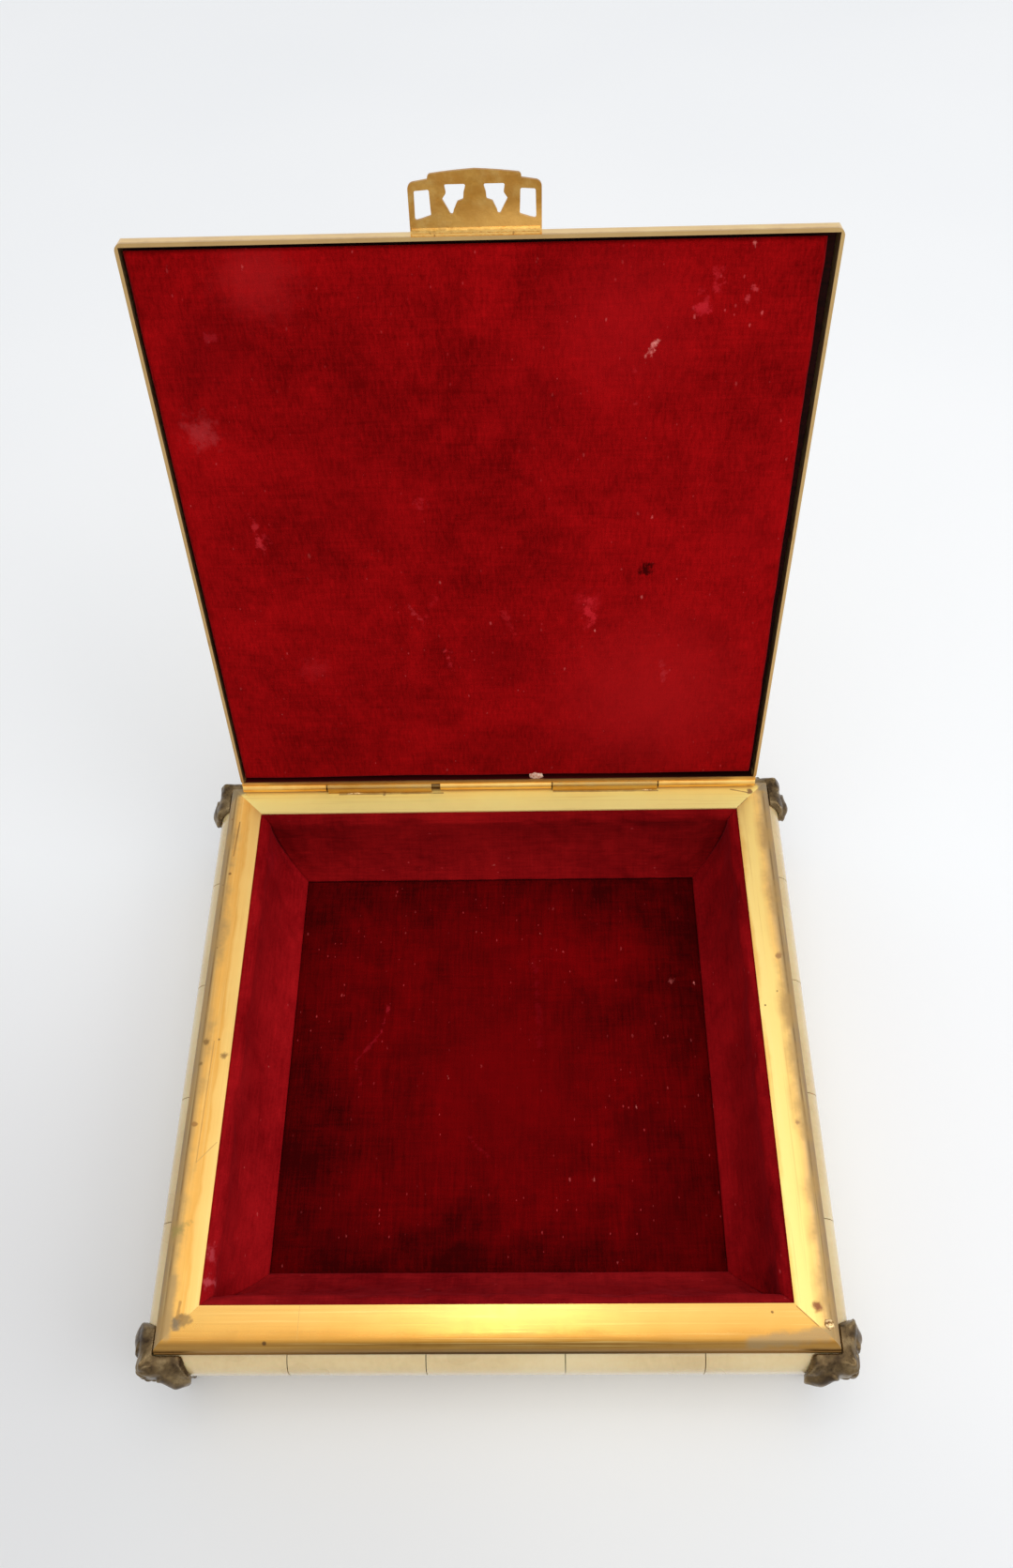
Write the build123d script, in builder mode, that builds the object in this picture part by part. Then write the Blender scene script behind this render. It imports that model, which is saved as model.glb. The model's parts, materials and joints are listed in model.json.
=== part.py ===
from build123d import *
from math import asin, cos, degrees, radians, sin
import os

# Square jewelry casket, seen with its lid standing open.
# Millimetres. X runs to the right, Y to the back and Z up. The origin is on the table, under the
# middle of the body. Brass rails frame a wooden carcass that swells out just under the frame, cream
# plaques skin it, cast mounts clasp the corners and form the feet, and velvet lines it.

# Body
casket_size = 156.0       # outer width and depth of the brass frame
body_height = 27.0        # frame top to the underside of the carcass
foot_height = 6.5         # carcass underside to the table
rail_width = 9.8          # flat top of the frame, seen from above
rail_sheet = 1.0          # brass thickness
rail_shoulder = 2.6       # outer radius of the rounded edge
rail_drop = 4.4           # frame top to the lower edge of the rail
rail_bead = 0.5           # radius of the bead along that lower edge
rail_bead_proud = 0.3     # how far the bead stands out of the rail's face

# Plaques and carcass
bulge = 3.6               # how far the plaques swell past the frame
lower_curve = 26.0        # radius of the long inward curve below the swelling
plaque_thickness = 2.0
plaque_pitch = 31.8       # joint to joint along a side
plaque_joint = 0.2        # open joint between two plaques
plaques_per_side = 5
glue_line = 0.1
base_thickness = 4.0

# Velvet lining
floor_depth = 19.0        # frame top to the velvet floor
lining_top = 0.5          # the lining starts this far below the frame top
lining_roll = 2.6         # padding at the top edge
lining_cove = 11.6        # how far the lining runs in over the floor
floor_pad_edge = 0.8

# Lid
lid_size = 147.4          # outer width and depth of the lid
lid_height = 6.0
lid_shoulder = 3.6
lid_sheet = 0.8
lid_corner = 1.6          # radius of the lid's upright corners
lid_gap = 0.1             # between the lid's lip and the frame when shut
open_angle = 102.3        # from shut to leaning on the hinge stop
lid_board_thickness = 2.2
lid_board_clearance = 0.3
lid_board_edge = 0.2      # upright edge left under the bevel
lid_plaque_thickness = 1.2
lid_plaque_bevel = 0.3
lid_pad_thickness = 2.3
lid_pad_edge = 1.1        # rounded edge of the pad
pad_gap_left = 0.3
pad_gap_front = 0.3
pad_gap_back = 1.0
pad_gap_right_front = 1.9  # the pad was cut a little out of square
pad_gap_right_back = 0.7

# Hinge
barrel_radius = 1.5
barrel_clearance = 0.2    # barrel to the leaf that it turns past
pin_radius = 0.7
pin_clearance = 0.05      # radial, in every knuckle
hinge_height = 1.75       # pin axis above the frame top
leaf_sheet = 0.6
lid_leaf_height = 3.6
lid_leaf_rise = 0.3       # leaf's lower edge above the lid's lip
leaf_web = 1.15           # height of the web that joins a barrel to its leaf
body_leaf_drop = 3.1      # body leaf's lower edge below the frame top
stop_clearance = 0.05     # lid leaf to the upright edge that stops it
body_knuckle = 30.0
centre_knuckle = 32.0
knuckle_gap = 0.4
skirt_clearance = 0.1     # under the body's knuckles, which reach down to the rail in front
worn_knuckle_gap = 2.6    # the pin shows in this one, left of the centre knuckle

# Thumb tab
tab_shift = -0.2          # the tab sits a little left of the lid's centre line
tab_sheet = 0.8
tab_rise = 0.6            # tab's underside above the lid's lip
tab_half_width = 13.2
tab_shoulder = 9.7        # height of the side lobes
tab_crown_half_width = 9.2
tab_crown = 11.2
tab_arch = 0.8
tab_corner = 1.3
tab_crown_corner = 0.7
tab_inner_corner = 0.35
tab_flange_rise = 0.3
tab_roll = 0.8            # radius of the rolled bend at the tab's root

# Corner mounts. A place on a mount is its reach from the frame's edge or corner, then its depth.
mount_gap = 0.15          # to the plaques behind
mount_profile = ((1.3, 3.5), (4.4, 6.6), (2.1, 21.3), (0.9, 31.0), (0.0, 33.5))   # brow to table
mount_toe_height = 2.2    # above the table
mount_corner = 2.8        # radius of the ridge, seen from above
mount_inset = 8.0         # foot's depth under the carcass
mount_notches = ((5.4, 3.5), (4.8, 13.4), (3.9, 20.2), (3.3, 26.4))    # edge of the leaf
mount_lobes = ((7.6, 8.4), (5.4, 17.0), (4.4, 23.4))
mount_toe_side = 4.4
mount_rolls = ((0.2, 1.5), (0.35, 1.2))       # share of the face line, radius
roll_length = 1.3         # of a roll across the corner, in radii
roll_sink = 0.9           # a roll's middle behind the ridge, in radii
shell_place = (3.9, 9.0)
shell_reach = 3.5         # flat back of the shell, past the frame
shell_proud = 1.9         # from that back to the shell's crest
shell_length = 3.9        # half lengths of the pointed oval
shell_width = 3.6
shell_tilt = 24.0

half = casket_size / 2
lid_half = lid_size / 2
frame_top = body_height + foot_height
body_base = Plane.XY.offset(frame_top)
swell_radius = bulge + rail_sheet
swell_depth = rail_drop + swell_radius
lower_centre = -half - bulge + lower_curve
leaf_offset = barrel_radius + barrel_clearance
hinge_y = half - leaf_offset
hinge_z = frame_top + hinge_height
hinge_body_base = Plane(origin=(0, hinge_y, hinge_z))
lid_lean = radians(open_angle)
hinge_lid_base = Plane(origin=(0, hinge_y, hinge_z), x_dir=(1, 0, 0),
                       z_dir=(0, sin(lid_lean), cos(lid_lean)))
lid_middle = (0, -leaf_offset - leaf_sheet - lid_half, lid_gap - hinge_height)
lid_base = Plane(origin=hinge_lid_base.from_local_coords(lid_middle),
                 x_dir=hinge_lid_base.x_dir, z_dir=hinge_lid_base.z_dir)
sides = {"front": 0, "right": 90, "back": 180, "left": 270}

os.makedirs("parts", exist_ok=True)


def save(piece, name):
    piece.part.label = name
    export_step(piece.part, f"parts/{name}.step")


def side_plane(base, turn):
    """The base plane turned about its own normal, so that its front faces one side."""
    turned = base.x_dir.rotate(Axis((0, 0, 0), base.z_dir), turn)
    return Plane(origin=base.origin, x_dir=turned, z_dir=base.z_dir)


def section_plane(base, turn):
    """A plane across one side of a square: its first axis points at the middle, its second up."""
    side = side_plane(base, turn)
    return Plane(origin=side.origin, x_dir=side.y_dir, z_dir=side.x_dir)


def mitre_plane(base, turn, hand):
    """The upright 45 degree plane at the right (1) or left (-1) end of a side."""
    side = side_plane(base, turn)
    return Plane(origin=side.origin, x_dir=side.z_dir, z_dir=side.x_dir * hand + side.y_dir)


def side_run(name, base, turn, section, start, end, blank=None):
    """A length of one section along a side of the square, mitred where it meets a corner.

    A blank, where there is one, is the whole square's outer form, which the length is cut to.
    """
    with BuildPart() as run:
        with BuildSketch(section_plane(base, turn).offset(start)):
            add(section)
        extrude(amount=end - start)
        split(bisect_by=mitre_plane(base, turn, 1), keep=Keep.BOTTOM)
        split(bisect_by=mitre_plane(base, turn, -1), keep=Keep.BOTTOM)
        if blank:
            add(blank, mode=Mode.INTERSECT)
    save(run, name)


def rail_section(outer, top, drop, shoulder, sheet):
    """Angle section of a rail: flat top, rounded shoulder and upright flange."""
    with BuildSketch() as section:
        with BuildLine():
            CenterArc((-outer + shoulder, top - shoulder), shoulder, 90, 90)
            Polyline((-outer, top - shoulder), (-outer, top - drop), (-outer + sheet, top - drop),
                     (-outer + sheet, top - shoulder))
            CenterArc((-outer + shoulder, top - shoulder), shoulder - sheet, 90, 90)
            Polyline((-outer + shoulder, top - sheet), (-outer + rail_width, top - sheet),
                     (-outer + rail_width, top), (-outer + shoulder, top))
        make_face()
    return section.sketch


def beaded_rail_section():
    """The body's rail, with a bead along its lower edge."""
    with BuildSketch() as section:
        add(rail_section(half, 0, rail_drop, rail_shoulder, rail_sheet))
        with Locations((-half + rail_bead - rail_bead_proud, -rail_drop + rail_bead)):
            Circle(rail_bead)
    return section.sketch


def swell_end(inset):
    """Where the swelling curve, moved in by inset, meets the carcass underside."""
    radius = lower_curve - inset
    turn = asin((body_height - swell_depth) / radius)
    return lower_centre - radius * cos(turn), turn


def swell_line(inset):
    """The swelling outer line of the body, moved in by inset, in the current line."""
    turn = swell_end(inset)[1]
    CenterArc((-half + rail_sheet, -swell_depth), swell_radius - inset, 90, 90)
    CenterArc((lower_centre, -swell_depth), lower_curve - inset, 180, degrees(turn))


def plaque_section():
    with BuildSketch() as section:
        with BuildLine():
            swell_line(0)
            Line((swell_end(0)[0], -body_height), (swell_end(plaque_thickness)[0], -body_height))
            swell_line(plaque_thickness)
            Line((-half + rail_sheet, -rail_drop), (-half + rail_sheet, -rail_drop - plaque_thickness))
        make_face()
    return section.sketch


def wall_section():
    inset = plaque_thickness + glue_line
    with BuildSketch() as section:
        with BuildLine():
            swell_line(inset)
            Polyline((swell_end(inset)[0], -body_height), (-half + rail_width, -body_height),
                     (-half + rail_width, -rail_sheet), (-half + rail_shoulder, -rail_sheet),
                     (-half + rail_sheet, -rail_shoulder), (-half + rail_sheet, -rail_drop - inset))
        make_face()
    return section.sketch


def lining_section():
    """Velvet over padding: a rolled top edge, an upright waist and a cove down to the floor."""
    back = -half + rail_width
    base = -body_height + base_thickness
    with BuildSketch() as section:
        with BuildLine():
            roll = TangentArc((back, -lining_top), (back + lining_roll, -lining_top - lining_roll),
                              tangent=(1, 0))
            TangentArc(roll @ 1, (back + lining_cove, -floor_depth), tangent=(0, -1))
            Polyline((back + lining_cove, -floor_depth), (back + lining_cove, base), (back, base),
                     (back, -lining_top))
        make_face()
    return section.sketch


def make_body_sides():
    reach = half + 2 * bulge
    rail = beaded_rail_section()
    plaque = plaque_section()
    wall = wall_section()
    lining = lining_section()
    for side, turn in sides.items():
        side_run(f"{side}_rail", body_base, turn, rail, -reach, reach)
        side_run(f"{side}_wall", body_base, turn, wall, -reach, reach)
        side_run(f"{side}_lining", body_base, turn, lining, -reach, reach)
        for number in range(plaques_per_side):
            first = number == 0
            last = number == plaques_per_side - 1
            left_joint = (number - plaques_per_side / 2) * plaque_pitch
            start = -reach if first else left_joint + plaque_joint / 2
            end = reach if last else left_joint + plaque_pitch - plaque_joint / 2
            side_run(f"{side}_plaque_{number + 1}", body_base, turn, plaque, start, end)


def make_floor():
    inside = casket_size - 2 * rail_width
    with BuildPart() as base_board:
        with BuildSketch(body_base.offset(-body_height)):
            Rectangle(inside, inside)
        extrude(amount=base_thickness)
    save(base_board, "base_board")

    pad_size = inside - 2 * lining_cove
    with BuildPart() as floor_pad:
        with BuildSketch(body_base.offset(-body_height + base_thickness)):
            Rectangle(pad_size, pad_size)
        extrude(amount=body_height - base_thickness - floor_depth)
        fillet(floor_pad.faces().sort_by(Axis.Z)[-1].edges(), floor_pad_edge)
    save(floor_pad, "floor_pad")


def mount_face():
    """The swelling front line of a mount, in tangent arcs from its brow to the table."""
    points = [(-half - reach, -depth) for reach, depth in mount_profile]
    with BuildLine() as face:
        arc = TangentArc(points[0], points[1], tangent=(-1, 0))
        for point in points[2:]:
            arc = TangentArc(arc @ 1, point, tangent=arc % 1)
    return face.wire()


def mount_section():
    """Section of a mount's arm, as deep as the corner of the carcass that it hugs."""
    face = mount_face()
    with BuildSketch() as section:
        with BuildLine():
            add(face)
            Polyline(face @ 1, (-half + mount_inset, -frame_top), (-half + mount_inset, (face @ 0).Y),
                     face @ 0)
        make_face()
    return section.sketch


def make_space_behind_mounts():
    """The plaqued body at one corner, with the clearance that a mount keeps from it."""
    deep = -half + 3 * mount_inset
    with BuildSketch() as section:
        with BuildLine():
            swell_line(-mount_gap)
            Polyline((swell_end(-mount_gap)[0], -body_height), (deep, -body_height),
                     (deep, -rail_drop + mount_gap), (-half + rail_sheet, -rail_drop + mount_gap))
        make_face()
        with Locations((-half - rail_bead_proud - mount_gap, 0)):
            Rectangle(3 * mount_inset, rail_drop + mount_gap, align=(Align.MIN, Align.MAX))
    with BuildPart() as behind:
        with BuildSketch(section_plane(body_base, 0)):
            add(section.sketch)
        extrude(amount=half + 2 * bulge)
        split(bisect_by=mitre_plane(body_base, 0, 1), keep=Keep.BOTTOM)
        mirror(about=Plane(origin=(0, 0, 0), z_dir=(1, 1, 0)))
    return behind.part


def mount_outline():
    """Edge of the leaf on the front face, seen from the front: lobes, notches and the toe."""
    notches = [(half - reach, -depth) for reach, depth in mount_notches]
    lobes = [(half - reach, -depth) for reach, depth in mount_lobes]
    beyond = half + 2 * mount_inset
    with BuildSketch() as outline:
        with BuildLine():
            for start, middle, end in zip(notches, lobes, notches[1:]):
                ThreePointArc(start, middle, end)
            ThreePointArc(notches[-1], (half - mount_toe_side, mount_toe_height - frame_top),
                          (notches[-1][0], -frame_top))
            Polyline((notches[-1][0], -frame_top), (beyond, -frame_top), (beyond, 0),
                     (notches[0][0], 0), notches[0])
        make_face()
    return outline.sketch


def make_shell():
    """The pointed shell on the front arm, domed across its width and tilted up towards the corner."""
    tilt = radians(shell_tilt)
    along = (cos(tilt), 0, sin(tilt))
    centre = Vector(half - shell_place[0], -half - shell_reach, frame_top - shell_place[1])
    dome_radius = (shell_proud**2 + shell_width**2) / (2 * shell_proud)
    dome_middle = centre + Vector(0, dome_radius - shell_proud, 0)
    with BuildPart() as shell:
        with BuildSketch(Plane(origin=centre, x_dir=along, z_dir=(0, -1, 0))):
            with BuildLine():
                ThreePointArc((-shell_length, 0), (0, shell_width), (shell_length, 0))
                ThreePointArc((shell_length, 0), (0, -shell_width), (-shell_length, 0))
            make_face()
        extrude(amount=shell_proud)
        with BuildSketch(Plane(origin=dome_middle, x_dir=(0, 1, 0), z_dir=along)):
            Circle(dome_radius)
        extrude(amount=shell_length, both=True, mode=Mode.INTERSECT)
    return shell.part


def make_corner_mounts():
    """A cast leaf over each corner: two mitred arms, rolls down the ridge and a shell on each arm."""
    face = mount_face()
    section = mount_section()
    outline = mount_outline()
    behind = make_space_behind_mounts()
    swell = mount_profile[1][0]
    front = Plane(origin=(0, -half - 2 * swell, frame_top), x_dir=(1, 0, 0), z_dir=(0, -1, 0))
    across = Plane(origin=(0, 0, 0), z_dir=(1, 1, 0))
    shell = make_shell()
    with BuildPart() as mount:
        with BuildSketch(section_plane(body_base, 0)):
            add(section)
        extrude(amount=half + 2 * swell)
        split(bisect_by=mitre_plane(body_base, 0, 1), keep=Keep.BOTTOM)
        with BuildSketch(front):
            add(outline)
        extrude(amount=-2 * swell - 2 * mount_inset, mode=Mode.INTERSECT)
        with BuildSketch(Plane.XY):
            RectangleRounded(2 * (half + swell), 2 * (half + swell), mount_corner)
        extrude(amount=frame_top, mode=Mode.INTERSECT)
        add(shell)
        mirror(about=across)
        for place, radius in mount_rolls:
            ridge = face @ place
            reach = -ridge.X - roll_sink * radius
            corner = Plane(origin=(reach, -reach, frame_top + ridge.Y), x_dir=(0, 0, 1), z_dir=(1, 1, 0))
            with BuildSketch(corner):
                Circle(radius)
            extrude(amount=roll_length * radius / 2, both=True)
        add(behind, mode=Mode.SUBTRACT)
    save(mount, "corner_mount_front_right")
    for name, planes in (("front_left", [Plane.YZ]), ("back_right", [Plane.XZ]),
                         ("back_left", [Plane.YZ, Plane.XZ])):
        twin = mount.part
        for plane in planes:
            twin = twin.mirror(plane)
        with BuildPart() as copy:
            add(twin)
        save(copy, f"corner_mount_{name}")


def make_lid_sides():
    section = rail_section(lid_half, lid_height, lid_height, lid_shoulder, lid_sheet)
    with BuildPart() as blank:
        with BuildSketch(lid_base):
            RectangleRounded(lid_size, lid_size, lid_corner)
        extrude(amount=lid_height)
    for side, turn in sides.items():
        side_run(f"lid_{side}_rail", lid_base, turn, section, -lid_half, lid_half, blank.part)


def make_lid_middle():
    up = Axis(lid_base.origin, lid_base.z_dir)
    board_top = lid_height - lid_sheet
    board_low = board_top - lid_board_thickness
    board_size = lid_size - 2 * lid_sheet
    board_bevel = lid_shoulder - lid_sheet
    with BuildPart() as lid_board:
        with BuildSketch(lid_base.offset(board_low)):
            Rectangle(board_size - 2 * lid_board_clearance, board_size - 2 * lid_board_clearance)
        extrude(amount=lid_board_thickness)
        chamfer(lid_board.faces().sort_by(up)[-1].edges(), lid_board_thickness - lid_board_edge,
                board_bevel)
    save(lid_board, "lid_board")

    window = lid_size - 2 * rail_width
    pitch = window / plaques_per_side
    for number in range(plaques_per_side):
        centre = (number - (plaques_per_side - 1) / 2) * pitch
        with BuildPart() as plaque:
            with BuildSketch(lid_base.offset(board_top)):
                with Locations((centre, 0)):
                    Rectangle(pitch - plaque_joint, window - plaque_joint)
            extrude(amount=lid_plaque_thickness)
            chamfer(plaque.faces().sort_by(up)[-1].edges(), lid_plaque_bevel)
        save(plaque, f"lid_plaque_{number + 1}")

    inside = board_size / 2
    with BuildPart() as lid_pad:
        with BuildSketch(lid_base.offset(board_low - lid_pad_thickness)):
            with BuildLine():
                Polyline((-inside + pad_gap_left, -inside + pad_gap_front),
                         (inside - pad_gap_right_front, -inside + pad_gap_front),
                         (inside - pad_gap_right_back, inside - pad_gap_back),
                         (-inside + pad_gap_left, inside - pad_gap_back), close=True)
            make_face()
        extrude(amount=lid_pad_thickness)
        fillet(lid_pad.faces().sort_by(up)[0].edges(), lid_pad_edge)
    save(lid_pad, "lid_pad")


def tab_outline():
    """Half of the thumb tab, from its middle to its right edge, seen from inside the open lid."""
    with BuildSketch() as outline:
        with BuildLine():
            Polyline((0, tab_crown + tab_arch), (0, 0), (tab_half_width, 0),
                     (tab_half_width, tab_shoulder), (tab_crown_half_width, tab_shoulder + 0.6),
                     (tab_crown_half_width, tab_crown))
            RadiusArc((tab_crown_half_width, tab_crown), (0, tab_crown + tab_arch), -120)
        make_face()
        corners = outline.vertices().group_by(Axis.X)
        fillet(corners[-1].sort_by(Axis.Y)[-1], tab_corner)
        fillet(outline.vertices().filter_by(lambda v: abs(v.X - tab_crown_half_width) < 0.01)
               .sort_by(Axis.Y)[-1], tab_crown_corner)
    return outline.sketch


def tab_opening(points):
    with BuildSketch() as opening:
        with BuildLine():
            Polyline(*points, close=True)
        make_face()
        fillet(opening.vertices(), tab_inner_corner)
    return opening.sketch


def make_thumb_tab():
    """Openwork tab: a vase between two balusters and two thin side bars."""
    inner = tab_opening(((1.7, 9.4), (6.0, 9.4), (5.7, 7.8), (6.5, 6.7), (5.3, 4.6), (4.6, 3.2),
                         (4.3, 4.6), (3.5, 6.2), (2.3, 6.6), (2.2, 7.8)))
    outer = tab_opening(((9.0, 8.5), (12.0, 8.3), (12.1, 2.8), (10.8, 3.1), (8.8, 3.7), (8.9, 5.6)))
    outline = tab_outline()
    root = lid_base.from_local_coords((tab_shift, -lid_half, tab_rise))
    sheet = Plane(origin=root, x_dir=lid_base.x_dir, z_dir=-lid_base.z_dir)
    with BuildPart() as thumb_tab:
        with BuildSketch(sheet):
            add(outline)
            add([inner, outer], mode=Mode.SUBTRACT)
            mirror(about=Plane.YZ)
        extrude(amount=-tab_sheet)
        with BuildSketch(section_plane(lid_base, 0).offset(tab_shift - tab_half_width + 0.3)):
            with Locations((-lid_half - tab_sheet / 2,
                            (tab_flange_rise + tab_rise + tab_sheet) / 2)):
                Rectangle(tab_sheet, tab_rise + tab_sheet - tab_flange_rise)
            with Locations((-lid_half - tab_roll, tab_rise + tab_sheet / 2)):
                Circle(tab_roll)
        extrude(amount=2 * tab_half_width - 0.6)
    save(thumb_tab, "thumb_tab")


def knuckles():
    """Start and end of each knuckle along the hinge: the lid's, then the body's."""
    centre_start = -centre_knuckle / 2 - 0.6
    centre_end = centre_start + centre_knuckle
    left_end = centre_start - worn_knuckle_gap
    right_start = centre_end + knuckle_gap
    left = (left_end - body_knuckle, left_end)
    right = (right_start, right_start + body_knuckle)
    lid = ((-lid_half, left[0] - knuckle_gap), (centre_start, centre_end),
           (right[1] + knuckle_gap, lid_half))
    return lid, (left, right)


def make_hinge():
    lid_knuckles, body_knuckles = knuckles()
    bore = pin_radius + pin_clearance
    leaf_middle = leaf_offset + leaf_sheet / 2
    with BuildPart() as lid_leaf:
        for start, end in lid_knuckles:
            with BuildSketch(section_plane(hinge_lid_base, 0).offset(start)):
                Circle(barrel_radius)
                with Locations((-leaf_offset / 2, 0)):
                    Rectangle(leaf_offset, leaf_web)
                Circle(bore, mode=Mode.SUBTRACT)
            extrude(amount=end - start)
        low = lid_gap + lid_leaf_rise - hinge_height
        with BuildSketch(section_plane(hinge_lid_base, 0).offset(-lid_half)):
            with Locations((-leaf_middle, low + lid_leaf_height / 2)):
                Rectangle(leaf_sheet, lid_leaf_height)
        extrude(amount=lid_size)
    save(lid_leaf, "hinge_lid_leaf")

    # The lid's leaf comes down on the upright edge of the body's leaf and stops the lid there.
    stop_top = (leaf_offset - stop_clearance + cos(lid_lean) * (leaf_offset + leaf_sheet)) \
        / sin(lid_lean)
    leaf_bottom = -hinge_height - body_leaf_drop
    web_low = -barrel_radius
    skirt_height = hinge_height - skirt_clearance
    with BuildPart() as body_leaf:
        for start, end in body_knuckles:
            with BuildSketch(section_plane(hinge_body_base, 0).offset(start)):
                Circle(barrel_radius)
                with Locations((leaf_offset / 2, web_low + leaf_web / 2)):
                    Rectangle(leaf_offset, leaf_web)
                with Locations((-barrel_radius / 2, -skirt_height / 2)):
                    Rectangle(barrel_radius, skirt_height)
                Circle(bore, mode=Mode.SUBTRACT)
            extrude(amount=end - start)
        with BuildSketch(section_plane(hinge_body_base, 0).offset(-lid_half)):
            with Locations((leaf_middle, (stop_top + leaf_bottom) / 2)):
                Rectangle(leaf_sheet, stop_top - leaf_bottom)
        extrude(amount=lid_size)
    save(body_leaf, "hinge_body_leaf")

    with BuildPart() as hinge_pin:
        with BuildSketch(section_plane(hinge_body_base, 0).offset(-lid_half)):
            Circle(pin_radius)
        extrude(amount=lid_size)
    save(hinge_pin, "hinge_pin")


make_body_sides()
make_floor()
make_corner_mounts()
make_lid_sides()
make_lid_middle()
make_thumb_tab()
make_hinge()
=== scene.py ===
"""Jewelry casket with a brass frame, cream plaques and a red velvet lining, standing open.

Metres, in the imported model's frame: X to the right, Y to the back, Z up, origin on the table.
"""
import json
from math import atan2, cos, exp, hypot, pi, radians, sin, sqrt, tanh

import bmesh
import bpy
from mathutils import Matrix, Vector, noise


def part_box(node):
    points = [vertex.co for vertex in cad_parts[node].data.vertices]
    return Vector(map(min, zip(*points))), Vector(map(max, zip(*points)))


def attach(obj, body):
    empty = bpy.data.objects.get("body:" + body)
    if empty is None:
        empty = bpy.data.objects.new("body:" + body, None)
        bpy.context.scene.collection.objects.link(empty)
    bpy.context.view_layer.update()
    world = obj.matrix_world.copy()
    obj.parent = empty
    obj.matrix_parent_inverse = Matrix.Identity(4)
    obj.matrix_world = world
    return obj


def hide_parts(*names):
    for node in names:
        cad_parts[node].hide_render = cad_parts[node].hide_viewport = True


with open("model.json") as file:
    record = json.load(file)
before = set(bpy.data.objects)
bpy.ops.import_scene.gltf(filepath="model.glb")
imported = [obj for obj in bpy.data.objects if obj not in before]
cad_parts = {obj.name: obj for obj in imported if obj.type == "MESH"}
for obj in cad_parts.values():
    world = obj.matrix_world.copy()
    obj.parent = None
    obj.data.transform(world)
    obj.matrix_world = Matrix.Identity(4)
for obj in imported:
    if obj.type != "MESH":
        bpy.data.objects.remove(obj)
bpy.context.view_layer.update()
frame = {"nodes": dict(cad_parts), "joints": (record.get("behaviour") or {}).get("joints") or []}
nodes = frame["nodes"]
scene = bpy.context.scene
MM = 0.001

# Sizes read from the frame, in metres
lining_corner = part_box("front_lining")[1]
floor_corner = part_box("floor_pad")[1]
hinge = frame["joints"][0]
FRAME_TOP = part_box("front_rail")[1].z
INNER_HALF = lining_corner.x  # half width of the opening inside the rails
LINING_TOP = lining_corner.z
FLOOR_TOP = floor_corner.z
FLOOR_HALF = floor_corner.x
HINGE = Vector(hinge["pos_m"])
LID_TURN = radians(hinge["range_deg"][1])
LID_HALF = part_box("lid_front_rail")[1].x
# Sizes that no single node's box shows
BODY_HALF = 78 * MM  # outer face of the frame, without its bead
LID_LIP = FRAME_TOP + 0.1 * MM  # the lid's lower lip when shut
LID_REAR = HINGE.y - 2.3 * MM  # the lid's rear face when shut
LID_MIDDLE = LID_REAR - LID_HALF
# The open lid's directions: outward from its face, and from its free edge to the hinge
LID_NORMAL = Vector((0.0, sin(LID_TURN), cos(LID_TURN)))
LID_BACK = Vector((0.0, cos(LID_TURN), -sin(LID_TURN)))


def on_lid(x, y, z):
    """A point given where it is with the lid shut, carried to the open lid."""
    turn = Matrix.Rotation(-LID_TURN, 3, "X")
    return HINGE + turn @ (Vector((x, y, z)) - HINGE)


def add_object(name, data):
    made = bpy.data.objects.new(name, data)
    scene.collection.objects.link(made)
    return made


# Camera, light and table


def add_camera():
    """The photograph's camera, fitted to the corners of the frame, the well and the lid."""
    data = bpy.data.cameras.new("camera")
    camera = add_object("camera", data)
    camera.location = (9.6 * MM, -131.1 * MM, 326.6 * MM)
    camera.rotation_euler = (radians(31.55), radians(1.355), radians(0.068))
    data.lens = 28.38
    data.sensor_width = 36.0
    data.shift_y = 0.0535
    data.clip_start = 0.01
    scene.camera = camera


def add_lamp(name, size, power, place, aim, colour=(1.0, 1.0, 1.0)):
    data = bpy.data.lights.new(name, "AREA")
    data.shape = "RECTANGLE"
    data.size, data.size_y = size
    data.energy = power
    data.color = colour
    lamp = add_object(name, data)
    lamp.location = place
    lamp.rotation_euler = (Vector(aim) - Vector(place)).to_track_quat("-Z", "Y").to_euler()


def add_light():
    """A pale room, a wide lamp above, a small one for the front rail's glint, a window at the right."""
    world = bpy.data.worlds.new("studio")
    scene.world = world
    world.use_nodes = True
    tree = Nodes(world.node_tree)
    lit = tree.add("Background", Color=(0.96, 0.975, 1.0, 1), Strength=0.62)
    shown = tree.add("Background", Color=(0.99, 0.99, 1.0, 1), Strength=0.82)
    mixed = tree.add("MixShader", Fac=tree.seen())
    tree.link(lit.outputs[0], mixed.inputs[1])
    tree.link(shown.outputs[0], mixed.inputs[2])
    out = tree.add("OutputWorld")
    tree.link(mixed.outputs[0], out.inputs["Surface"])
    add_lamp("ceiling", (1.3, 1.3), 3.7, (0.1, -0.15, 1.2), (0, 0, 0), (1.0, 0.985, 0.96))
    add_lamp("glint", (0.1, 0.07), 0.17, (-0.02, 0.16, 1.2), (0, -0.07, 0.03))
    add_lamp("window", (0.9, 0.7), 3.7, (0.95, -0.35, 0.75), (0, 0, 0.05), (1.0, 0.99, 0.97))


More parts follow.
